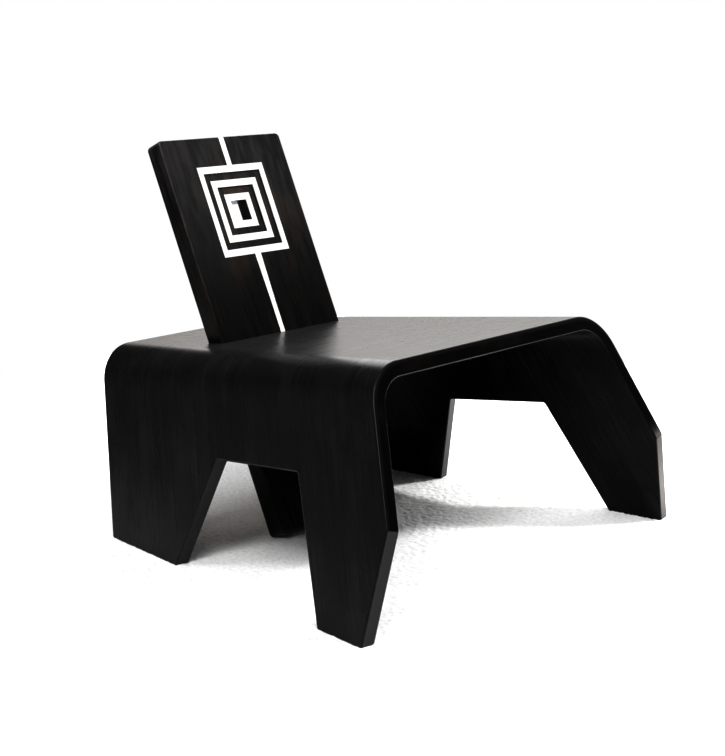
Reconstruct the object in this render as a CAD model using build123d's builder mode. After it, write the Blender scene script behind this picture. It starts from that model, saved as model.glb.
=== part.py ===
from build123d import *
import os
from math import cos, radians, sin, tan

# African birthing chair: a low bent-laminated seat shell on four legs, and a raked back board
# that drops through a slot in the seat and stands on the floor.
# Millimetres. +Z up, front towards -Y, +X to the right seen from the front.
# The origin is on the floor, under the middle of the overall box.

# ---- driving dimensions of the seat shell ----
seat_height = 380.0         # top of the seat at its front edge
seat_width = 592.0          # between the sides at the front edge, before the bends round it
seat_depth = 702.0          # front top edge to back top edge, level
seat_fall = 6.3             # degrees, the seat drops towards the back
side_splay = 15.4           # degrees, the sides lean out towards the floor
side_taper = 5.5            # degrees, each side draws in towards the back
rake = 24.5                 # degrees off upright, shared by the back board and the raked edges
ply_thickness = 6.0         # one bent lamination
ply_names = ["shell_outer_face_ply", "shell_outer_core_ply",
             "shell_inner_core_ply", "shell_inner_face_ply"]
bend_radius = 80.0          # outer radius of the two bends

# ---- legs, as seen from the side on the outer face ----
knee_height = 168.0         # where the front edge stops running forward
front_foot_setback = 9.0    # toe of the front foot behind the knee
front_foot_length = 99.0
back_foot_length = 190.0
front_leg_lean = 27.2       # degrees, rear edge of the front leg
back_leg_lean = 17.0        # degrees, front edge of the back leg
rail_depth = 162.0          # seat top down to the top of the leg opening, upright

# ---- back board ----
board_width = 297.0
board_thickness = 36.0
board_inset = 471.0         # seat front edge back to the board's front face, level
slot_clearance = 0.4        # each side, so that the board lifts out
board_corner = 9.0
board_arris = 4.0           # round-over along the board's edges

# ---- stepped square recess and inlay in the board's front face ----
ring_names = ["ring_inner", "ring_middle", "ring_outer"]
band_across = 11.6          # width of the upright runs of every ring
band_level = 12.9           # height of the level runs of every ring
band_gap = 13.3             # dark gap between two rings
recess_step = 3.0           # each ring lies this much deeper than the one outside it
inlay_depth = 1.5
hole_half = 19.2            # half the square hole at the centre
hole_ease = 5.5             # chamfer round the hole at the back
motif_height = 233.9        # seat top up to the centre of the hole, along the front face
motif_margin = 55.2         # outer ring up to the board's top end
stripe_width = 12.2         # above the rings
stripe_foot = 10.7          # below the rings, up to the flare
stripe_flare = 60.0         # height over the seat where the lower stripe starts to widen
stripe_head = 14.5          # where it meets the outer ring

# ---- edge treatment ----
arris = 2.5                 # round-over along every outer edge
notch_corner = 6.0          # inside corners of the leg openings
knee_corner = 4.0
foot_corner = 5.0
reach = 1500.0              # larger than the chair, for cutting blocks

# ---- derived sizes ----
shell_thickness = ply_thickness * len(ply_names)
fall = tan(radians(seat_fall))
splay = tan(radians(side_splay))
taper = tan(radians(side_taper))
lean = tan(radians(rake))
knee_reach = (seat_height - knee_height) * lean
front_edge = (knee_reach - seat_depth) / 2
back_edge = front_edge + seat_depth


def ring_half(index, band):
    """Half a ring's outer size, counted from the inner ring, where its own bands are this wide."""
    return hole_half + band + index * (band + band_gap)


def seat_level(y):
    """Height of the seat's top surface at depth y."""
    return seat_height - fall * (y - front_edge)


def half_width(y, z):
    """Distance from the middle to a side's outer face at depth y and height z."""
    return seat_width / 2 - taper * (y - front_edge) + splay * (seat_level(y) - z)


# ---- reference planes ----
seat_plane = Plane(origin=(0, front_edge, seat_height), x_dir=(1, 0, 0), z_dir=(0, fall, 1))
front_plane = Plane(origin=(0, front_edge, seat_height), x_dir=(1, 0, 0), z_dir=(0, -1, lean))
back_plane = Plane(origin=(0, back_edge, seat_level(back_edge)), x_dir=(1, 0, 0), z_dir=(0, 1, -lean))


def side_plane(side):
    """Outer face of one side panel, side = -1 left or 1 right, normal pointing out."""
    origin = (side * half_width(front_edge, seat_height), front_edge, seat_height)
    along = (-side * (taper + fall * splay), 1, 0)
    return Plane(origin=origin, x_dir=along, z_dir=(side, taper + fall * splay, splay))


def on_panel(side, y, z):
    """Local coordinates, on a side's outer face, of the point at depth y and height z."""
    point = side_plane(side).to_local_coords(Vector(side * half_width(y, z), y, z))
    return (point.X, point.Y)


def envelope(depth):
    """The block inside the shell's outer surface moved inwards by depth."""
    with BuildPart() as block:
        Box(reach, 2 * reach, reach)
        split(bisect_by=seat_plane.offset(-depth), keep=Keep.BOTTOM)
        for side in (-1, 1):
            split(bisect_by=side_plane(side).offset(-depth), keep=Keep.BOTTOM)
        top = block.faces().sort_by(Axis.Z)[-1]
        ridges = top.edges().filter_by(lambda edge: abs(edge.center().X) > seat_width / 8
                                       and edge.length > seat_depth)
        fillet(ridges, bend_radius - depth)
    return block.part


def crossing_edges(solid, side):
    """Straight edges on one side that run square through the panel's thickness."""
    normal = side_plane(side).z_dir
    straight = solid.edges().filter_by(GeomType.LINE)
    return straight.filter_by(lambda edge: edge.center().X * side > 0
                              and edge.length < 2 * shell_thickness
                              and abs((edge % 0).dot(normal)) > 0.999)


def is_skin(face):
    """True for the broad faces of the shell: the seat, the bends and the side panels."""
    if face.geom_type == GeomType.CYLINDER:
        return face.radius > bend_radius / 2
    broad = [seat_plane.z_dir, side_plane(-1).z_dir, side_plane(1).z_dir]
    return any(abs(face.normal_at().dot(normal)) > 0.9999 for normal in broad)


def rim_edges(solid):
    """Edges where a broad face of the shell meets its cut edge."""
    outlines = [edge for face in solid.faces().filter_by(is_skin) for edge in face.edges()]
    return ShapeList(edge for edge in outlines if outlines.count(edge) == 1)


# ---- leg outline, seen from the side ----
below = -60.0               # under the floor, so that the openings cut right through the feet
toe = front_edge - knee_reach + front_foot_setback
front_heel = toe + front_foot_length
back_heel = back_edge - lean * seat_level(back_edge)
back_toe = back_heel - back_foot_length
front_leg_slope = tan(radians(front_leg_lean))
back_leg_slope = tan(radians(back_leg_lean))


def opening_top(y):
    """Height of the leg opening's upper edge, which runs parallel to the seat."""
    return seat_level(y) - rail_depth


# the two upper corners, where the leaning leg edges meet the sloping upper edge
opening_front = (front_heel + front_leg_slope * opening_top(0)) / (1 + front_leg_slope * fall)
opening_back = (back_toe - back_leg_slope * opening_top(0)) / (1 - back_leg_slope * fall)

# ---- where the back board stands ----
board_front = front_edge + board_inset
board_seat = seat_level(board_front)
rake_cos = cos(radians(rake))
rake_sin = sin(radians(rake))
board_plane = Plane(origin=(0, board_front, board_seat), x_dir=(1, 0, 0), z_dir=(0, -rake_cos, rake_sin))
# the rounded lower rear edge of the square-cut foot rests on the floor
foot_rise = board_arris * (rake_cos + rake_sin - 1)
board_drop = (board_seat - board_thickness * rake_sin + foot_rise) / rake_cos
motif_half = ring_half(len(ring_names) - 1, band_level)
board_rise = motif_height + motif_half + motif_margin   # seat top to the board's top end


def ring_plane(index):
    """The level of one ring's white surface: the outer ring is flush with the board's front face."""
    return board_plane.offset(-recess_step * (len(ring_names) - 1 - index))


outer_block = envelope(0)
inner_block = envelope(shell_thickness)

with BuildPart() as shell:
    add(outer_block)
    add(inner_block, mode=Mode.SUBTRACT)
    split(bisect_by=front_plane, keep=Keep.BOTTOM)
    split(bisect_by=back_plane, keep=Keep.BOTTOM)
    split(bisect_by=Plane.XY, keep=Keep.TOP)
    for side in (-1, 1):
        with BuildSketch(side_plane(side)):
            with BuildLine():
                Polyline(
                    on_panel(side, back_toe - below * back_leg_slope, below),
                    on_panel(side, opening_back, opening_top(opening_back)),
                    on_panel(side, opening_front, opening_top(opening_front)),
                    on_panel(side, front_heel + below * front_leg_slope, below),
                    close=True,
                )
            make_face()
        extrude(amount=2 * shell_thickness, both=True, mode=Mode.SUBTRACT)
        toe_slope = front_foot_setback / knee_height
        with BuildSketch(side_plane(side)):
            with BuildLine():
                Polyline(
                    on_panel(side, front_edge - knee_reach, knee_height),
                    on_panel(side, toe - below * toe_slope, below),
                    on_panel(side, toe - seat_depth / 2, below),
                    on_panel(side, toe - seat_depth / 2, knee_height),
                    close=True,
                )
            make_face()
        extrude(amount=2 * shell_thickness, both=True, mode=Mode.SUBTRACT)
    for side in (-1, 1):
        knees = crossing_edges(shell, side).filter_by(lambda edge: edge.center().Y < toe)
        fillet(knees, knee_corner)
        inside = crossing_edges(shell, side).filter_by(
            lambda edge: front_heel < edge.center().Y < back_toe)
        fillet(inside, notch_corner)
    floor_edges = shell.edges().filter_by_position(Axis.Z, -0.01, 0.01)
    fillet(floor_edges.filter_by(lambda edge: edge.length < 2 * shell_thickness), foot_corner)
    fillet(rim_edges(shell), arris)
    with BuildSketch(board_plane.offset(slot_clearance)):
        Rectangle(board_width + 2 * slot_clearance, 5 * shell_thickness)
    extrude(amount=-board_thickness - 2 * slot_clearance, mode=Mode.SUBTRACT)

os.makedirs("parts", exist_ok=True)

# ---- the shell is four bent laminations, glued one inside the other ----
for index, ply_name in enumerate(ply_names):
    with BuildPart() as ply:
        add(shell.part)
        if index > 0:
            add(envelope(index * ply_thickness), mode=Mode.INTERSECT)
        if index < len(ply_names) - 1:
            add(envelope((index + 1) * ply_thickness), mode=Mode.SUBTRACT)
    ply.part.label = ply_name
    export_step(ply.part, f"parts/{ply_name}.step")

# ---- back board blank, before the recess and the inlay pockets are cut ----
with BuildPart() as blank:
    with BuildSketch(board_plane):
        with Locations((0, (board_rise - board_drop) / 2)):
            RectangleRounded(board_width, board_rise + board_drop, board_corner)
    extrude(amount=-board_thickness)
    broad_faces = blank.faces().filter_by(Axis((0, 0, 0), board_plane.z_dir))
    fillet(broad_faces.edges(), board_arris)

# ---- inlays: three square rings round the hole, and a stripe above and below them ----
inlays = []
ring_openings = []
for index, ring_name in enumerate(ring_names):
    half_across = ring_half(index, band_across)
    half_level = ring_half(index, band_level)
    opening = (2 * (half_across - band_across), 2 * (half_level - band_level))
    with BuildPart() as ring:
        with BuildSketch(ring_plane(index)):
            with Locations((0, motif_height)):
                Rectangle(2 * half_across, 2 * half_level)
                Rectangle(*opening, mode=Mode.SUBTRACT)
        extrude(amount=-inlay_depth)
    ring_openings.append(opening)
    ring.part.label = ring_name
    export_step(ring.part, f"parts/{ring_name}.step")
    inlays.append(ring.part)

# heights along the board's face, and the stripe's width there
stripe_stations = {
    "stripe_upper": [(motif_height + motif_half, stripe_width), (board_rise, stripe_width)],
    "stripe_lower": [(-board_drop, stripe_foot), (stripe_flare, stripe_foot),
                     (motif_height - motif_half, stripe_head)],
}
for stripe_name, stations in stripe_stations.items():
    right_side = [(width / 2, height) for height, width in stations]
    left_side = [(-width / 2, height) for height, width in reversed(stations)]
    with BuildPart() as stripe:
        with BuildSketch(board_plane):
            with BuildLine():
                Polyline(*right_side, *left_side, close=True)
            make_face()
        extrude(amount=-inlay_depth)
        add(blank.part, mode=Mode.INTERSECT)
    stripe.part.label = stripe_name
    export_step(stripe.part, f"parts/{stripe_name}.step")
    inlays.append(stripe.part)

with BuildPart() as board:
    add(blank.part)
    for inlay in inlays:
        add(inlay, mode=Mode.SUBTRACT)
    for index in range(1, len(ring_names)):
        with BuildSketch(ring_plane(index)):
            with Locations((0, motif_height)):
                Rectangle(*ring_openings[index])
        extrude(amount=-recess_step, mode=Mode.SUBTRACT)
    with BuildSketch(board_plane):
        with Locations((0, motif_height)):
            Rectangle(2 * hole_half, 2 * hole_half)
    extrude(amount=-board_thickness, mode=Mode.SUBTRACT)
    back_face = board.faces().sort_by(Axis((0, 0, 0), board_plane.z_dir))[0]
    chamfer(back_face.inner_wires()[0].edges(), hole_ease)
board.part.label = "back_board"
export_step(board.part, "parts/back_board.step")
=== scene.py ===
from math import cos, pi, radians, sin

import bpy
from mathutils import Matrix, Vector, noise


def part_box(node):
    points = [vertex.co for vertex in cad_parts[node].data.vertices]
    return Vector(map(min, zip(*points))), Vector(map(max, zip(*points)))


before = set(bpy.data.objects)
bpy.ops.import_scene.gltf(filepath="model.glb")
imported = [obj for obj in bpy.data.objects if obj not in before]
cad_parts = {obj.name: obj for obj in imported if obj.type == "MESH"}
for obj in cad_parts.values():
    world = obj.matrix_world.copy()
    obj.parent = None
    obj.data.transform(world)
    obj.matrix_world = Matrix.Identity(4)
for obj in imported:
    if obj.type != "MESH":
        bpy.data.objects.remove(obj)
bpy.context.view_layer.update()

# An African birthing chair of ebonised bent plywood, with a raked board for a back and a white
# lacquered inlay. Metres, +Z up, front towards -Y, as the frame has it.
MM = 0.001

# ---- driving sizes of the finishes ----
RAKE = radians(24.5)          # the grain leans back with the board and with the raked edges
STREAK_WIDTH = 5 * MM         # a light or dark streak across the face veneer
STREAK_LENGTH = 190 * MM      # the same streak along the grain
PORE_WIDTH = 1.2 * MM         # real pores are 0.2 mm wide, drawn as coarse as they show
PORE_LENGTH = 22 * MM
VENEER_PORE_DEPTH = 0.008 * MM  # all but filled by the lacquer
EDGE_PORE_DEPTH = 0.01 * MM
BOARD_PORE_DEPTH = 0.03 * MM  # left open by the oil
BRUSH_DEPTH = 0.01 * MM       # the drag of the brush in the white lacquer
WAVE_WIDTH = 70 * MM          # slow unevenness of the pressed sheet, which bends its reflections
WAVE_DEPTH = 0.4 * MM
CLOUD_WIDTH = 55 * MM         # patches where the dye took thinly
MOTTLE_WIDTH = 13 * MM        # small patches within them, on the board
BOARD_STREAK = 6 * MM
BOARD_LENGTH = 150 * MM       # how long a streak of the board is
HOLE_REACH = 150 * MM         # how far from the hand hole the board is rubbed thin

# ---- the carpet ----
TUFT_WIDTH = 7 * MM
TUFT_DEPTH = 1 * MM           # the wool's own relief, on top of the modelled tufts
TUFT_OCTAVES = 3
PILE = 2 * MM                 # how far the tufts stand above and below the carpet's level
RIM_WIDTH = 120 * MM          # how far in from its rim the tufted sheet starts to dip
RIM_DIP = 4                   # how deep it dips there, in piles
NEAR_STEP = 4 * MM            # the grid that the tufts are modelled on
NEAR_CORNERS = ((-0.75, -0.75), (0.75, 0.65))
NEAR_LEVEL = 1 * MM           # tufts reach a little over the soles of the feet
FAR_STEP = 1.5
FAR_CORNERS = ((-1.5, -1.5), (1.5, 1.5))
FAR_LEVEL = -3 * MM

# ---- the surround ----
WHITE = (1, 1, 1, 1)
WALL_LEVEL = 1.0              # brightness behind the chair
FILL_LEVEL = 0.15             # light on matt surfaces from all round
ROOM_LEVEL = 0.04             # brightness of the room in reflections

# ---- the camera ----
CAMERA_PLACE = (-1.9591, -1.7826, 0.8651)
CAMERA_DOWN = radians(12.71)
CAMERA_TURN = radians(-48.07)
SENSOR_WIDTH = 36.0           # in millimetres, as Blender has it
FOCAL_LENGTH = 74.56

# ---- places taken from the model ----
ring_low, ring_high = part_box("ring_outer")
HOLE_PLACE = (ring_low + ring_high) / 2   # the rings are centred on the hand hole
BOARD_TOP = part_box("back_board")[1].z


# ---- helpers ----
def linear(hex_colour):
    """An sRGB hex colour such as "1a1b1c" as linear RGBA."""
    channels = [int(hex_colour[at:at + 2], 16) / 255 for at in (0, 2, 4)]
    return [c / 12.92 if c <= 0.04045 else ((c + 0.055) / 1.055) ** 2.4 for c in channels] + [1.0]


def add(tree, kind, inputs=None, **settings):
    """Adds one node. A value in inputs is set on that socket, and a node's output is linked to it."""
    node = tree.nodes.new(kind)
    for name, value in settings.items():
        setattr(node, name, value)
    for name, value in (inputs or {}).items():
        socket = node.inputs[name]
        if isinstance(value, bpy.types.NodeSocket):
            tree.links.new(value, socket)
        else:
            socket.default_value = value
    return node


def new_material(name):
    """An empty node material and its tree."""
    material = bpy.data.materials.new(name)
    material.use_nodes = True
    material.node_tree.nodes.clear()
    return material, material.node_tree


def close_material(tree, **surface):
    """Ends a tree in a principled shader with these sockets, written with _ for a space."""
    sockets = {name.replace("_", " "): value for name, value in surface.items()}
    shader = add(tree, "ShaderNodeBsdfPrincipled", sockets)
    add(tree, "ShaderNodeOutputMaterial", {"Surface": shader.outputs["BSDF"]})


def finish_piece(node, material):
    """Gives a CAD node's object one material."""
    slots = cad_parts[node].data.materials
    slots.clear()
    slots.append(material)


def grain(tree, size, turn=0.0, **settings):
    """Noise stretched to streaks of size, its width along X, Y and Z. turn leans it back about X."""
    place = add(tree, "ShaderNodeTexCoord").outputs["Object"]
    leaned = add(tree, "ShaderNodeMapping", {"Vector": place, "Rotation": (turn, 0, 0)}).outputs["Vector"]
    scaled = add(tree, "ShaderNodeVectorMath", {0: leaned, 1: [1 / width for width in size]},
                 operation="MULTIPLY").outputs["Vector"]
    return add(tree, "ShaderNodeTexNoise", {"Vector": scaled, "Scale": 1.0, **settings}).outputs["Fac"]


def ramp(tree, fac, *stops):
    """A colour ramp through stops of (position, sRGB hex)."""
    node = add(tree, "ShaderNodeValToRGB", {"Fac": fac})
    elements = node.color_ramp.elements
    while len(elements) < len(stops):
        elements.new(0.5)
    for element, (position, colour) in zip(elements, stops):
        element.position = position
        element.color = linear(colour)
    return node.outputs["Color"]


def window(tree, fac, start, end, low=0.0, high=1.0):
    """A number that goes from low to high as fac goes from start to end, and no further."""
    return add(tree, "ShaderNodeMapRange", {"Value": fac, "From Min": start, "From Max": end,
                                            "To Min": low, "To Max": high}).outputs["Result"]


def spread(tree, fac, low, high):
    """A number from low to high over the middle range of a noise."""
    return window(tree, fac, 0.3, 0.7, low, high)


def both(tree, first, second):
    """The product of two numbers."""
    return add(tree, "ShaderNodeMath", {0: first, 1: second}, operation="MULTIPLY").outputs["Value"]


def greater(tree, first, second):
    """The greater of two numbers."""
    return add(tree, "ShaderNodeMath", {0: first, 1: second}, operation="MAXIMUM").outputs["Value"]


def between(tree, value, start, rise, fall, end):
    """1 where value is between rise and fall, fading to 0 at start and end."""
    return both(tree, window(tree, value, start, rise), window(tree, value, fall, end, 1.0, 0.0))


def blend(tree, fac, under, over):
    """Two colours mixed by fac. Either is a socket or an sRGB hex."""
    node = add(tree, "ShaderNodeMix", {0: fac}, data_type="RGBA")
    for socket, colour in ((6, under), (7, over)):
        if isinstance(colour, str):
            node.inputs[socket].default_value = linear(colour)
        else:
            tree.links.new(colour, node.inputs[socket])
    return node.outputs[2]


def relief(tree, height, depth, under=None):
    """A bump of that depth in metres, on top of another bump where one is given."""
    inputs = {"Height": height, "Strength": 1.0, "Distance": depth}
    if under is not None:
        inputs["Normal"] = under
    return add(tree, "ShaderNodeBump", inputs).outputs["Normal"]


def facing(tree, turn=0.0):
    """How far the surface looks along X, Y and Z, each without its sign. turn leans Y and Z back."""
    normal = add(tree, "ShaderNodeNewGeometry").outputs["Normal"]
    leaned = add(tree, "ShaderNodeVectorRotate", {"Vector": normal, "Angle": turn}, rotation_type="X_AXIS")
    size = add(tree, "ShaderNodeVectorMath", {0: leaned.outputs["Vector"]}, operation="ABSOLUTE")
    parts = add(tree, "ShaderNodeSeparateXYZ", {"Vector": size.outputs["Vector"]})
    return [parts.outputs[axis] for axis in "XYZ"]


# ---- finishes ----
def ebonised_veneer(name, shine, dust):
    """Birch face veneer, dyed black and rubbed out with satin lacquer: near-black, with faint streaks along
    the grain, which runs up one side, over the seat and down the other, and brown where the dye took thinly
    and where the arrises are rubbed. The sheet's cut edges are darker and glossier than its face.
    shine is how much the face's lacquer reflects, and dust the haze seen along it."""
    material, tree = new_material(name)
    cut_roughness, cut_shine = 0.23, 0.55
    streak = grain(tree, (STREAK_LENGTH, STREAK_WIDTH, STREAK_LENGTH), RAKE, Detail=4.0, Roughness=0.55)
    pore = grain(tree, (PORE_LENGTH, PORE_WIDTH, PORE_LENGTH), RAKE, Detail=2.0)
    cloud = grain(tree, (CLOUD_WIDTH, CLOUD_WIDTH, 2 * CLOUD_WIDTH), RAKE, Detail=3.0)
    wave = grain(tree, (WAVE_WIDTH, WAVE_WIDTH, WAVE_WIDTH), Detail=1.0)
    thin = both(tree, window(tree, cloud, 0.44, 0.7), window(tree, streak, 0.25, 0.7))
    dyed = ramp(tree, streak, (0.3, "050506"), (0.75, "09090b"))
    browned = blend(tree, thin, dyed, "1d1a1b")
    along = facing(tree)[1]
    cut = window(tree, along, 0.75, 0.85)
    rubbed = both(tree, between(tree, along, 0.2, 0.4, 0.7, 0.85), window(tree, pore, 0.35, 0.6))
    worn = blend(tree, rubbed, browned, "241d18")
    face_roughness = spread(tree, streak, 0.25, 0.33)
    rough = add(tree, "ShaderNodeMix", {0: cut, 2: face_roughness, 3: cut_roughness}).outputs[0]
    pressed = relief(tree, wave, WAVE_DEPTH)
    close_material(tree, Base_Color=blend(tree, cut, worn, "060606"), Roughness=rough,
                   Normal=relief(tree, pore, VENEER_PORE_DEPTH, pressed), IOR=1.4,
                   Specular_IOR_Level=window(tree, cut, 0.0, 1.0, shine, cut_shine),
                   Sheen_Weight=dust, Sheen_Roughness=0.5)
    return material


def ebonised_ply_core():
    """Cross-cut core plies, stained black and sealed: darker than the faces and as glossy as their cut
    edges, with end grain showing."""
    material, tree = new_material("ebonised_ply_core")
    pore = grain(tree, (PORE_WIDTH, PORE_WIDTH, PORE_LENGTH), RAKE, Detail=3.0)
    cloud = grain(tree, (CLOUD_WIDTH, CLOUD_WIDTH, CLOUD_WIDTH), Detail=2.0)
    dyed = ramp(tree, pore, (0.3, "040404"), (0.7, "080707"))
    close_material(tree, Base_Color=blend(tree, window(tree, cloud, 0.55, 0.8), dyed, "130f0d"),
                   Roughness=spread(tree, cloud, 0.19, 0.27), Normal=relief(tree, pore, EDGE_PORE_DEPTH),
                   IOR=1.4, Specular_IOR_Level=0.55)
    return material


def ebonised_board():
    """Solid board, dyed black and oiled: soft streaks up the board, with small grey patches towards the top
    that are painted sheen, brown where hands have rubbed it round the hole, and dark on the sealed end
    grain.
    Its arrises carry a pale line, partly rubbed-through wear and partly painted highlight, which fades
    towards the foot."""
    material, tree = new_material("ebonised_solid_board")
    streak = grain(tree, (BOARD_STREAK, BOARD_STREAK, BOARD_LENGTH), RAKE, Detail=5.0, Roughness=0.6)
    pore = grain(tree, (PORE_WIDTH, PORE_WIDTH, PORE_LENGTH), RAKE, Detail=3.0)
    cloud = grain(tree, (CLOUD_WIDTH, CLOUD_WIDTH, 2 * CLOUD_WIDTH), RAKE, Detail=4.0)
    mottle = grain(tree, (MOTTLE_WIDTH, MOTTLE_WIDTH, 5 * MOTTLE_WIDTH), RAKE, Detail=3.0, Roughness=0.5)
    place = add(tree, "ShaderNodeTexCoord").outputs["Object"]
    height = add(tree, "ShaderNodeSeparateXYZ", {"Vector": place}).outputs["Z"]
    away = add(tree, "ShaderNodeVectorMath", {0: place, 1: HOLE_PLACE},
               operation="DISTANCE").outputs["Value"]
    dyed = ramp(tree, streak, (0.32, "040404"), (0.72, "0b0a0a"))
    # painted sheen: small lighter grey patches on the face, towards the top only, stand in for the lamps'
    # reflection there
    painted_sheen_patches = both(tree, window(tree, height, 0.6 * BOARD_TOP, 0.96 * BOARD_TOP),
                   window(tree, mottle, 0.38, 0.62))
    with_painted_sheen = blend(tree, painted_sheen_patches, dyed, "2a292b")
    by_hole = window(tree, away, HOLE_REACH, 0.4 * HOLE_REACH, 0.12, 1.0)
    rubbed = both(tree, by_hole, window(tree, cloud, 0.42, 0.66))
    browned = blend(tree, both(tree, rubbed, window(tree, streak, 0.3, 0.7)), with_painted_sheen, "48382b")
    across, along, up = facing(tree, RAKE)
    sealed = blend(tree, window(tree, up, 0.75, 0.85, 0.0, 0.8), browned, "0e0d0c")
    arris = window(tree, greater(tree, greater(tree, across, along), up), 0.98, 0.9)
    # partly real wear, partly painted highlight: the pale arris line is strongest near the top and fades
    # towards the foot
    wear_and_painted_highlight = both(tree, window(tree, height, 0.525 * BOARD_TOP, 0.9 * BOARD_TOP, 0.15, 1.0),
                   window(tree, pore, 0.3, 0.6))
    worn = blend(tree, both(tree, arris, wear_and_painted_highlight), sealed, "554e48")
    rough = both(tree, spread(tree, streak, 0.26, 0.34), spread(tree, mottle, 0.9, 1.1))
    close_material(tree, Base_Color=worn, Roughness=rough, Normal=relief(tree, pore, BOARD_PORE_DEPTH),
                   IOR=1.35, Specular_IOR_Level=0.4)
    return material


def white_inlay():
    """White lacquer filled into the routed bands: even and satin, with a faint brush drag."""
    material, tree = new_material("white_lacquer_inlay")
    drag = grain(tree, (PORE_WIDTH, PORE_WIDTH, PORE_LENGTH), RAKE, Detail=2.0)
    close_material(tree, Base_Color=ramp(tree, drag, (0.3, "dcdcda"), (0.7, "e8e8e7")),
                   Roughness=spread(tree, drag, 0.35, 0.45), Normal=relief(tree, drag, BRUSH_DEPTH), IOR=1.5)
    return material


def wool_carpet():
    """Pale wool carpet with a short cut pile: white, quite matt and softly uneven."""
    material, tree = new_material("pale_wool_carpet")
    place = add(tree, "ShaderNodeTexCoord").outputs["Object"]
    tuft = add(tree, "ShaderNodeTexNoise",
               {"Vector": place, "Scale": 1 / TUFT_WIDTH, "Detail": 3.0}).outputs["Fac"]
    close_material(tree, Base_Color=ramp(tree, tuft, (0.3, "e6e6e6"), (0.6, "f6f6f6")), Roughness=1.0,
                   Normal=relief(tree, tuft, TUFT_DEPTH), Specular_IOR_Level=0.0)
    return material


def dress_chair():
    """Gives each CAD node its finish. The underside's lacquer was left thinner and gathers no dust."""
    finish_piece("shell_outer_face_ply", ebonised_veneer("ebonised_birch_veneer", shine=0.3, dust=0.048))
    finish_piece("shell_inner_face_ply", ebonised_veneer("ebonised_birch_underside", shine=0.14, dust=0.0))
    finish_piece("back_board", ebonised_board())
    core = ebonised_ply_core()
    for node in ("shell_outer_core_ply", "shell_inner_core_ply"):
        finish_piece(node, core)
    inlay = white_inlay()
    for node in ("ring_outer", "ring_middle", "ring_inner", "stripe_upper", "stripe_lower"):
        finish_piece(node, inlay)


# ---- studio ----
def carpet_sheet(name, corners, step, pile, level):
    """A grid of carpet between two corners, at a level. Its points stand above and below that by up to
    pile, and a sheet with a pile dips at its rim, under the sheet that it lies on."""
    low, high = corners
    across, along = (round((high[at] - low[at]) / step) for at in (0, 1))
    points = []
    for row in range(along + 1):
        for column in range(across + 1):
            x, y = low[0] + column * step, low[1] + row * step
            inside = min(x - low[0], high[0] - x, y - low[1], high[1] - y) / RIM_WIDTH
            tufts = pile * noise.fractal(Vector((x, y, 0)) / TUFT_WIDTH, 0.5, 2.0, TUFT_OCTAVES)
            points.append((x, y, tufts - RIM_DIP * pile * max(0.0, 1 - inside)))
    faces = [(at, at + 1, at + across + 2, at + across + 1)
             for row in range(along) for at in range(row * (across + 1), row * (across + 1) + across)]
    mesh = bpy.data.meshes.new(name)
    mesh.from_pydata(points, [], faces)
    mesh.shade_smooth()
    sheet = bpy.data.objects.new(name, mesh)
    sheet.location.z = level
    bpy.context.scene.collection.objects.link(sheet)
    return sheet


def studio_floor():
    """A carpet with its tufts modelled round the feet, on a plain sheet that runs on past them."""
    material = wool_carpet()
    near = carpet_sheet("carpet_near", NEAR_CORNERS, NEAR_STEP, PILE, NEAR_LEVEL)
    far = carpet_sheet("carpet_far", FAR_CORNERS, FAR_STEP, 0, FAR_LEVEL)
    for sheet in (near, far):
        sheet.data.materials.append(material)


def sun_light(name, around, above, breadth, strength, glossy=True):
    """A distant lamp. around is its bearing from the front towards the right, above its height over the
    floor and breadth its width in the sky, all in degrees. One that isn't glossy lights the chair and is
    left out of its reflections."""
    light = bpy.data.lights.new(name, "SUN")
    light.angle = radians(breadth)
    light.energy = strength
    holder = bpy.data.objects.new(name, light)
    level = cos(radians(above))
    towards = (sin(radians(around)) * level, -cos(radians(around)) * level, sin(radians(above)))
    holder.rotation_euler = Vector(towards).to_track_quat("Z", "Y").to_euler()
    holder.visible_glossy = glossy
    bpy.context.scene.collection.objects.link(holder)


def soft_box(name, place, target, size, power, tint="ffffff"):
    """A soft lamp of that width and height, aimed at a point. It shows only in what it lights and in
    reflections."""
    light = bpy.data.lights.new(name, "AREA")
    light.shape = "RECTANGLE"
    light.size, light.size_y = size
    light.energy = power
    light.color = linear(tint)[:3]
    holder = bpy.data.objects.new(name, light)
    holder.location = place
    holder.rotation_euler = (Vector(target) - Vector(place)).to_track_quat("-Z", "Y").to_euler()
    holder.visible_camera = False
    bpy.context.scene.collection.objects.link(holder)


def studio_world():
    """A white surround behind the chair, some light from all round, and a darker room in the reflections."""
    world = bpy.data.worlds.new("studio")
    bpy.context.scene.world = world
    world.use_nodes = True
    tree = world.node_tree
    tree.nodes.clear()
    wall, fill, room = (add(tree, "ShaderNodeBackground", {"Color": WHITE, "Strength": level}).outputs[0]
                        for level in (WALL_LEVEL, FILL_LEVEL, ROOM_LEVEL))
    ray = add(tree, "ShaderNodeLightPath").outputs
    light = add(tree, "ShaderNodeMixShader", {0: ray["Is Diffuse Ray"], 1: room, 2: fill}).outputs[0]
    seen = add(tree, "ShaderNodeMixShader", {0: ray["Is Camera Ray"], 1: light, 2: wall}).outputs[0]
    add(tree, "ShaderNodeOutputWorld", {"Surface": seen})


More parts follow.
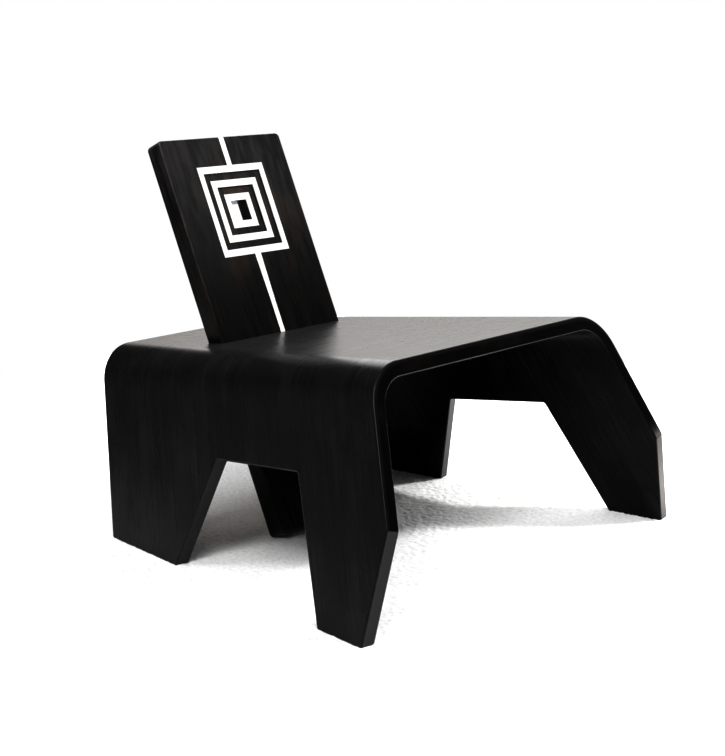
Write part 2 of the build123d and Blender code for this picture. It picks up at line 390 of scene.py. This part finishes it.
def studio_lights():
    """Wide suns for light and shade on the carpet, and soft boxes for what the black lacquer reflects."""
    sun_light("left_key", around=285, above=46, breadth=20, strength=1.67)
    sun_light("right_key", around=44, above=50, breadth=7, strength=2.6, glossy=False)
    sun_light("front_left_fill", around=315, above=55, breadth=20, strength=1.0)
    sun_light("front_fill", around=0, above=55, breadth=20, strength=0.42)
    sun_light("back_left_fill", around=225, above=55, breadth=20, strength=1.1)
    sun_light("right_fill", around=90, above=32, breadth=20, strength=0.82, glossy=False)
    sun_light("right_low_fill", around=90, above=12, breadth=20, strength=0.76, glossy=False)
    soft_box("high_backdrop", place=(2.4, 2.2, 1.8), target=(0, 0, 0.4), size=(2.0, 1.6), power=33)
    soft_box("backdrop", place=(2.9, 2.7, 0.9), target=(0, 0, 0.4), size=(2.6, 1.8), power=15, tint="fffaf5")
    soft_box("back_left_wall", place=(-2.5, 2.1, 1.2), target=(0, 0, 0.3), size=(2.4, 2.4), power=7,
             tint="f6f8ff")
    soft_box("right_wall", place=(2.6, -0.3, 1.1), target=(0, 0, 0.35), size=(1.6, 1.2), power=8)
    soft_box("key_glow", place=(2.1, -2.2, 3.2), target=(0, 0, 0.3), size=(1.6, 1.6), power=9)
    soft_box("board_sheen", place=(1.1, -0.65, 1.5), target=(0, 0.3, 0.6), size=(0.6, 0.6), power=1.8)
    # Two low lamps, by the front right foot and behind the left leg opening, stand in for light that
    # a real carpet passes on.
    soft_box("carpet_glow", place=(0.62, -0.46, 0.2), target=(0.62, -0.46, 0), size=(0.3, 0.3), power=1.7,
             tint="fff3ea")
    soft_box("notch_glow", place=(-0.09, 0.18, 0.12), target=(-0.09, 0.18, 0), size=(0.2, 0.16),
             power=0.028, tint="fff3ea")


def studio_camera():
    """The camera, and how the scene's light becomes the picture's tones."""
    lens = bpy.data.cameras.new("camera")
    lens.sensor_width = SENSOR_WIDTH
    lens.lens = FOCAL_LENGTH
    camera = bpy.data.objects.new("camera", lens)
    camera.location = CAMERA_PLACE
    camera.rotation_euler = (pi / 2 - CAMERA_DOWN, 0, CAMERA_TURN)
    bpy.context.scene.collection.objects.link(camera)
    bpy.context.scene.camera = camera
    bpy.context.scene.view_settings.view_transform = "Standard"
    bpy.context.scene.view_settings.gamma = 0.7


dress_chair()
studio_floor()
studio_world()
studio_lights()
studio_camera()
